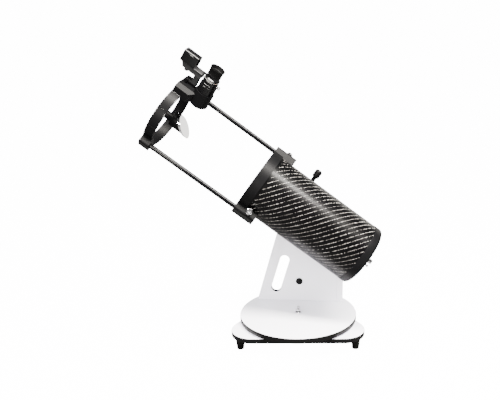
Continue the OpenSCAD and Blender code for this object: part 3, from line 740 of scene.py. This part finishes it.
class SCOPE_OT_lock_screws(PieceOperator, bpy.types.Operator):
    """Two knurled chrome screws that pinch the struts"""
    bl_idname = "scope.lock_screws"
    bl_label = "Strut lock screws"

    def build(self, size):
        for name, side, turn in (("upper_lock_screw", 0, size.lock_turn_upper),
                                 ("lower_lock_screw", 180, size.lock_turn_lower)):
            piece = lathe(name.replace("_", " "), [
                (0, 7.6), (2.4, 7.6), (3, 8.2), (3, 24.4), (4.4, 24.4), (5, 25), (5, 29.6), (7.8, 29.8),
                (9, 31), (9, 40.4), (8.2, 41.6), (7, 42), (6.4, 41.5), (2.6, 41.3), (2.2, 40.2), (0, 40.2)],
                size.round_steps)
            flute(piece, 31.5, 40, 0.7, every=2)
            place = about_tube(size.strut_angle + side, size.lock_x, 0, size.strut_reach)
            finish(piece, turned(place, -turn, "X"), name, "chrome", material("Chrome"), name)


class SCOPE_OT_cell_screws(PieceOperator, bpy.types.Operator):
    """Collimation screws, lock screws and springs behind the mirror"""
    bl_idname = "scope.cell_screws"
    bl_label = "Mirror cell screws"

    def build(self, size):
        locks = []
        for letter, angle in zip("abc", (75, 195, 315)):
            name = "collimation_screw_" + letter
            low = [(0, -258), (5.6, -258), (7, -256.8), (7, -245.6), (6, -244.5), (3.4, -244.5)]
            shank = [(3 if i % 2 else 2.7, -244.2 + 1.1 * i) for i in range(1, 18)]
            piece = lathe(name.replace("_", " "), low + shank + [(2.6, -224.2), (0, -224.2)],
                          size.round_steps)
            flute(piece, -256.6, -245.8, 0.6, every=2)
            place = turned(about_tube(angle, 0, 0, size.screw_reach), 90, "Y")
            finish(piece, place, name, "chrome", material("Chrome"), name)
            lock = lathe("cell lock screw", [
                (0, -255.2), (0.8, -255.2), (0.8, -256), (3.4, -256), (4, -255.4), (4, -252.4), (3.6, -252),
                (2.2, -252), (2.2, -230.4), (1.8, -230), (0, -230)], 32)
            only(lock)
            lock.matrix_world = turned(about_tube(angle + 14, 0, 0, size.screw_reach), 90, "Y")
            locks.append(lock)
        piece = join(*locks)
        piece.name = "seen_cell_lock_screws"
        finish(piece, Matrix.Identity(4), "tube", "chrome", material("Chrome"), "cell_lock_screws")
        springs = []
        for angle in (75, 195, 315):
            wire = start("circle", "cell spring", radius=0.8 * MM, vertices=12, fill_type="NOTHING",
                         location=(5.5 * MM, 0, 0), rotation=(math.pi / 2, 0, 0))
            bpy.ops.object.transform_apply(location=True, rotation=True, scale=True)
            modify(wire, "SCREW", axis="Z", angle=FULL_TURN * 3.4, screw_offset=8.4 * MM,
                   steps=96, render_steps=96, use_merge_vertices=False)
            edit(wire, "EDGE")
            bpy.ops.mesh.select_all(action="DESELECT")
            bpy.ops.mesh.select_non_manifold()
            bpy.ops.mesh.fill()
            done()
            wire.matrix_world = turned(about_tube(angle, -237.5 * MM, 0, size.screw_reach), 90, "Y")
            springs.append(wire)
        piece = join(*springs)
        piece.name = "seen_cell_springs"
        finish(piece, Matrix.Identity(4), "mirror_cell", "steel", material("Steel"), "cell_springs")


class SCOPE_OT_knobs(PieceOperator, bpy.types.Operator):
    """Fluted saddle clamp knob and lobed altitude tension knob"""
    bl_idname = "scope.knobs"
    bl_label = "Clamp and tension knobs"

    def build(self, size):
        knob = lathe("clamp knob", [
            (0, 33), (3.4, 33), (4, 33.6), (4, 70), (5.8, 70.6), (6.4, 71.4), (6.4, 86), (8.6, 86.4),
            (9.2, 87), (10.8, 89.8), (11, 90.6), (11, 107), (10.6, 108.4), (7.6, 111.6), (6.8, 112),
            (5.4, 111.6), (0, 111.4)], size.round_steps)
        flute(knob, 91, 106.8, 0.5, every=4)
        place = tube_place() @ Matrix.Translation(Vector((5, -99.5, 0)) * MM)
        finish(knob, place, "clamp_knob", "black_plastic", material("Black plastic"), "clamp_knob")

        knob = lathe("tension knob", [
            (5.1, 0.2), (13, 0.2), (14, 1.2), (14, 6), (20.6, 6.1), (21.9, 7.4), (21.9, 20.4), (20.6, 21.7),
            (9, 21.9), (8, 21), (5.4, 21), (5.1, 20.6)], 72, ring=True)
        for lobe in range(6):
            turn = math.radians(60 * lobe)
            cut_away(knob, start("cylinder", "scallop", radius=7 * MM, depth=16.4 * MM, vertices=48,
                                 location=(26 * MM * math.cos(turn), 26 * MM * math.sin(turn), 14.2 * MM)))
        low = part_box("tension_knob")[0]
        pivot = Vector(joint("altitude")["pos_m"])
        place = Matrix.Translation((pivot.x, low.y, pivot.z)) @ Matrix.Rotation(-math.pi / 2, 4, "X")
        finish(knob, place @ Matrix.Rotation(joint_tilt(), 4, "Z"), "tension_knob", "black_plastic",
               material("Black plastic"), "tension_knob")


def joint_tilt():
    """Angle of the tube above the horizon."""
    along = Vector(joint("balance_slide")["axis"])
    return math.atan2(along.z, -along.x)


class SCOPE_OT_struts(PieceOperator, bpy.types.Operator):
    """Two hollow struts with plugged ends"""
    bl_idname = "scope.struts"
    bl_label = "Struts"

    def build(self, size):
        r = size.strut_radius / MM
        for name, side in (("upper_strut", 0), ("lower_strut", 180)):
            piece = lathe(name.replace("_", " "), [
                (0, 92), (4.6, 92), (5, 91.4), (5.6, 90.2), (r - 0.6, 90), (r, 90.6), (r, 150), (r, 290),
                (r, 430),
                (r, 455.9), (r - 0.6, 456.5), (5.6, 456.3), (5, 455), (0, 454.8)], size.round_steps)
            place = turned(about_tube(size.strut_angle + side, 0, 0, size.strut_reach), 90, "Y")
            finish(piece, place, "cage", "tube_black", material("Black anodising"), name)


class SCOPE_OT_ring_ribs(PieceOperator, bpy.types.Operator):
    """Thin raised ribs across the upper ring, with a bead along each rim"""
    bl_idname = "scope.ring_ribs"
    bl_label = "Upper ring ribs"

    def build(self, size):
        # Rear and front faces of the ring from the altitude axis, and its outside radius
        rear, front, r = 435.4, 463.1, 94.8
        beads = [lathe("ring ribs", [
            (r - 1, z - 0.9), (r + 0.1, z - 0.9), (r + 0.45, z - 0.4), (r + 0.45, z + 0.4),
            (r + 0.1, z + 0.9), (r - 1, z + 0.9)], size.tube_steps, ring=True)
            for z in (rear + 1.2, front - 1.2)]
        for i in range(10):
            rib = block("rib", (-0.7, r - 1, rear + 1), (0.7, r + 0.45, front - 1))
            round_edges(rib, 0.3 * MM, 2)
            only(rib)
            rib.matrix_world = Matrix.Rotation(math.radians(18 + 36 * i), 4, "Z")
            bpy.ops.object.transform_apply(location=True, rotation=True, scale=True)
            beads.append(rib)
        piece = join(*beads)
        finish(piece, turned(tube_place(), 90, "Y"), "cage", "black_plastic", material("Gloss plastic"))


class SCOPE_OT_focuser(PieceOperator, bpy.types.Operator):
    """Ribbed focus ring, drawtube with its collar, and the eyepiece thumbscrew"""
    bl_idname = "scope.focuser"
    bl_label = "Focuser"

    def build(self, size):
        place = about_tube(size.focuser_angle, size.focuser_x)
        ribs = []
        for i in range(6):
            low = 129.6 + 3.6 * i
            ribs += [(22.3, low), (23.4, low + 0.5), (23.4, low + 2.2), (22.3, low + 2.7)]
        ring = lathe("focus ring", [(18.1, 128.5), (22, 128.5), *ribs, (22.3, 151.4), (18.1, 151.5)],
                     size.round_steps * 2, ring=True)
        finish(ring, place, "focus_ring", "black_plastic", material("Gloss plastic"), "focus_ring",
               smooth=25)
        tube = lathe("drawtube", [
            (15.95, 98), (17.6, 98), (18, 98.4), (18, 151.9), (21.2, 152.1), (22, 153), (22, 156.2),
            (21.4, 156.8), (21.4, 161.4), (22, 162), (22, 165.2), (21.4, 165.9), (16.6, 165.9),
            (15.95, 165.2)], size.round_steps * 2, ring=True)
        flute(tube, 157, 161.2, 0.35, every=2, columns=96, least=20)
        finish(tube, place, "drawtube", "anodised", material("Gloss plastic"), "drawtube")
        screw = lathe("eyepiece thumbscrew", [
            (0, 16.6), (1.6, 16.6), (2, 17), (2, 22.5), (3.9, 22.5), (4.5, 23.1), (4.5, 29.6), (3.8, 30.3),
            (0, 30.3)], size.round_steps)
        flute(screw, 23.3, 29.4, 0.4, every=2)
        here = turned(place @ Matrix.Translation((0, 0, 159 * MM)), -90, "Y")
        finish(screw, here, "eyepiece_thumbscrew", "chrome", material("Chrome"), "eyepiece_thumbscrew")


class SCOPE_OT_eyepiece(PieceOperator, bpy.types.Operator):
    """Eyepiece body with its plain band, rubber eyecup and domed eye lens"""
    bl_idname = "scope.eyepiece"
    bl_label = "Eyepiece"

    def build(self, size):
        place = about_tube(size.focuser_angle, size.focuser_x, 0, 166 * MM)
        body = lathe("eyepiece body", [
            (13.05, 0.1), (20.8, 0.1), (21.4, 0.8), (21.4, 1.6), (21, 1.9), (21, 3.7), (21, 4.3), (21, 6.6),
            (21.4, 6.9), (21.4, 7.8),
            (18.2, 10), (18, 11), (17.4, 13), (17.4, 15), (17, 15.4), (17, 23.6), (16.6, 24), (13.05, 24)],
            size.round_steps * 2, ring=True)
        body.data.materials.append(material("Gloss plastic"))
        # A thin pale line round the body
        second_material(body, material("Nylon"),
                        lambda c, n: 3.6 * MM < c.z < 4.4 * MM and c.xy.length > 0.02)
        finish(body, place, "eyepiece", "anodised", None, "eyepiece_body")
        cup = lathe("eyecup", [
            (17.5, 16.2), (18.6, 16), (19.1, 16.6), (18.9, 19), (18.4, 19.6), (18.4, 20.6), (18.8, 21.2),
            (18.4, 27.6), (19.2, 33), (20.5, 38.2), (20.3, 38.9), (19.8, 39), (19.3, 38.6), (17.8, 33),
            (16.8, 29), (14.4, 26.8),
            (14.1, 26), (14.3, 24.3), (17.3, 24.3)], size.round_steps * 2, ring=True)
        finish(cup, place, "eyepiece", "rubber", material("Rubber"), "eyecup")
        dome = [(12.9 * math.cos(math.radians(a)), 19.6 + 2.3 * math.sin(math.radians(a)))
                for a in range(10, 90, 10)]
        lens = lathe("eye lens", [(0, 17.1), (12.4, 17.1), (12.9, 17.6), (12.9, 19.6), *dome, (0, 21.9)],
                     size.round_steps)
        finish(lens, place, "eyepiece", "glass", material("Coated glass"), "eye_lens")


class SCOPE_OT_finder(PieceOperator, bpy.types.Operator):
    """Sighting finder: body, hood, window, knobs and switch"""
    bl_idname = "scope.finder"
    bl_label = "Finder"

    def build(self, size):
        place = about_tube(size.focuser_angle, 0, size.finder_shift)
        body = block("finder body", (421, -14, 146), (487, 14, 162))
        edit(body, "VERT")
        bpy.ops.mesh.select_all(action="DESELECT")
        done()
        for vertex in body.data.vertices:
            vertex.select = vertex.co.x > 480 * MM and vertex.co.z < 150 * MM
        edit(body, "VERT")
        bpy.ops.transform.translate(value=Vector((-9, 0, 1)) * MM)
        done()
        round_edges(body, 1.6 * MM, 3)
        sink(body, lambda c, n: abs(n.y) > 0.95, 1.2, -0.5)
        hood = block("hood", (448, -15.5, 157.6), (492, 15.5, 193.4))
        edit(hood, "EDGE")
        bpy.ops.mesh.select_all(action="DESELECT")
        done()
        for edge in hood.data.edges:
            a, b = (hood.data.vertices[i].co for i in edge.vertices)
            edge.select = abs(a.x - b.x) > 10 * MM
        edit(hood, "EDGE")
        bpy.ops.mesh.bevel(offset=7.5 * MM, segments=6, affect="EDGES")
        done()
        pick(hood, lambda c, n: abs(n.x) > 0.95)
        bpy.ops.mesh.delete(type="FACE")
        done()
        modify(hood, "SOLIDIFY", thickness=2.4 * MM, offset=-1, use_rim=True)
        round_edges(hood, 0.5 * MM, 2, 50)
        bar = block("rear bar", (413.4, -2, 161.6), (424, 2, 167.4))
        round_edges(bar, 0.8 * MM, 2)
        lug = block("lug", (427, -8, 137.2), (437, 8, 147))
        round_edges(lug, 1 * MM, 2)
        pin = start("cylinder", "pin", radius=2 * MM, depth=22 * MM, vertices=32,
                    location=Vector((432, 0, 141)) * MM, rotation=(math.pi / 2, 0, 0))
        round_edges(pin, 0.3 * MM, 1)
        body.data.materials.append(material("Grey plastic"))
        hood.data.materials.append(material("Gloss plastic"))
        for extra in (bar, lug, pin):
            extra.data.materials.append(material("Grey plastic"))
        piece = join(body, hood, bar, lug, pin)
        finish(piece, place, "finder", "grey_plastic", None, "finder_body")

        window = block("finder window", (484.2, -12.4, 160.2), (485.8, 12.4, 190.8))
        round_edges(window, 0.3 * MM, 1)
        finish(window, place, "finder", "glass", material("Coated glass"), "finder_window")
        tilt = lathe("finder tilt knob", [
            (0, 138.2), (5, 138.2), (5.9, 139), (5.9, 144.3), (5.2, 144.9), (2, 144.9), (2, 150.6),
            (0, 150.6)], size.round_steps)
        flute(tilt, 139.2, 144.1, 0.5, every=3)
        finish(tilt, place @ Matrix.Translation((468 * MM, 0, 0)), "finder_tilt_knob", "black_plastic",
               material("Black plastic"), "finder_tilt_knob")
        pan = lathe("finder pan knob", [
            (0, 2.2), (1.5, 2.2), (1.5, 11.5), (3.9, 11.5), (4.4, 12.1), (4.4, 16.6), (3.8, 17.3), (0, 17.3)],
            size.round_steps)
        flute(pan, 12.3, 16.4, 0.4, every=3)
        here = turned(place @ Matrix.Translation(Vector((450, 0, 123.95)) * MM), -90, "X")
        finish(pan, here, "finder_pan_knob", "black_plastic", material("Black plastic"), "finder_pan_knob")
        switch = lathe("finder switch", [
            (0, 0.1), (5.4, 0.1), (5.9, 0.6), (5.9, 4.2), (5.2, 4.9), (3.2, 4.9), (2.8, 4.3), (0, 4.3)],
            size.round_steps)
        flute(switch, 0.8, 4.1, 0.4, every=3)
        here = turned(place @ Matrix.Translation(Vector((440, -14.4, 154)) * MM), 90, "X")
        finish(switch, here, "finder_switch", "black_plastic", material("Black plastic"), "finder_switch")


class SCOPE_OT_stage(PieceOperator, bpy.types.Operator):
    """Pale floor, soft light and the camera"""
    bl_idname = "scope.stage"
    bl_label = "Stage"

    def build(self, size):
        floor = start("plane", "floor", size=40.0)
        sheet = coated("Floor", colours().floor, 0.6, tone=0.02, spread=0.05, mark_scale=3.0,
                       grain=200.0, relief=0.02)
        # The floor shows as white paper to the camera and stays a plain pale surface to the rest
        tree = sheet.node_tree
        seen = node(tree, "LightPath").outputs["Is Camera Ray"]
        shader = tree.nodes["Principled BSDF"]
        tree.links.new(maths(tree, "MULTIPLY", seen, PAPER_WHITE), shader.inputs["Emission Strength"])
        shader.inputs["Emission Color"].default_value = (1, 1, 1, 1)
        floor.data.materials.append(sheet)
        along = Vector(joint("balance_slide")["axis"])
        for name, place, aim, power, width, tall in LIGHTS:
            bpy.ops.object.light_add(type="AREA", location=place)
            lamp = bpy.context.object
            lamp.name = name
            lamp.data.energy = power
            lamp.data.color = (1.0, 0.96, 0.9)
            lamp.data.shape = "RECTANGLE"
            lamp.data.size = width
            lamp.data.size_y = tall
            # The long side of each light lies along the tube
            back = (Vector(place) - Vector(aim)).normalized()
            across = back.cross(along).normalized()
            lamp.rotation_euler = Matrix((across.cross(back), across, back)).transposed().to_euler()
        world = bpy.context.scene.world or bpy.data.worlds.new("World")
        bpy.context.scene.world = world
        world.use_nodes = True
        tree = world.node_tree
        seen = node(tree, "LightPath").outputs["Is Camera Ray"]
        backdrop = tree.nodes["Background"]
        backdrop.inputs["Color"].default_value = (1, 1, 1, 1)
        matt = tree.nodes["Light Path"].outputs["Is Diffuse Ray"]
        # White paper to the camera, an even fill for matt surfaces, and dark in reflections
        fill = maths(tree, "MULTIPLY_ADD", matt, MATT_FILL, REFLECTED_FILL)
        tree.links.new(maths(tree, "MULTIPLY_ADD", seen, PAPER_WHITE, fill), backdrop.inputs["Strength"])
        axis = Vector(joint("azimuth")["pos_m"])
        bpy.ops.object.camera_add(
            location=(axis.x + CAMERA_SIDE, axis.y - CAMERA_BACK, CAMERA_HEIGHT),
            rotation=(math.radians(90 - CAMERA_DIP), 0, math.radians(CAMERA_TURN)))
        camera = bpy.context.object
        camera.data.sensor_width = 36
        camera.data.lens = CAMERA_LENS
        camera.data.shift_x, camera.data.shift_y = CAMERA_SHIFT
        bpy.context.scene.camera = camera


class SCOPE_PT_panel(bpy.types.Panel):
    """Buttons, sizes and colours of the telescope"""
    bl_idname = "SCOPE_PT_panel"
    bl_label = "Telescope"
    bl_space_type = "VIEW_3D"
    bl_region_type = "UI"
    bl_category = "Telescope"

    def draw(self, context):
        layout = self.layout
        for operator in OPERATORS:
            layout.operator(operator.bl_idname)
        for settings in (context.scene.telescope_sizes, context.scene.telescope_colours):
            column = layout.column(align=True)
            for name in settings.__annotations__:
                column.prop(settings, name)


OPERATORS = (
    SCOPE_OT_materials, SCOPE_OT_ground_board, SCOPE_OT_turntable, SCOPE_OT_arm, SCOPE_OT_feet,
    SCOPE_OT_azimuth_fasteners, SCOPE_OT_main_tube, SCOPE_OT_rear_cap, SCOPE_OT_lock_screws,
    SCOPE_OT_cell_screws, SCOPE_OT_knobs, SCOPE_OT_struts, SCOPE_OT_ring_ribs, SCOPE_OT_focuser,
    SCOPE_OT_eyepiece, SCOPE_OT_finder, SCOPE_OT_stage,
)
CLASSES = (TelescopeSizes, TelescopeColours, *OPERATORS, SCOPE_PT_panel)


def register():
    for cls in CLASSES:
        bpy.utils.register_class(cls)
    bpy.types.Scene.telescope_sizes = PointerProperty(type=TelescopeSizes)
    bpy.types.Scene.telescope_colours = PointerProperty(type=TelescopeColours)


def unregister():
    del bpy.types.Scene.telescope_colours
    del bpy.types.Scene.telescope_sizes
    for cls in reversed(CLASSES):
        bpy.utils.unregister_class(cls)


def main():
    register()
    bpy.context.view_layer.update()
    for operator in OPERATORS:
        name = operator.bl_idname.split(".")[1]
        if "FINISHED" not in getattr(bpy.ops.scope, name)():
            raise RuntimeError("%s did not finish" % operator.bl_idname)


if __name__ == "__main__":
    main()
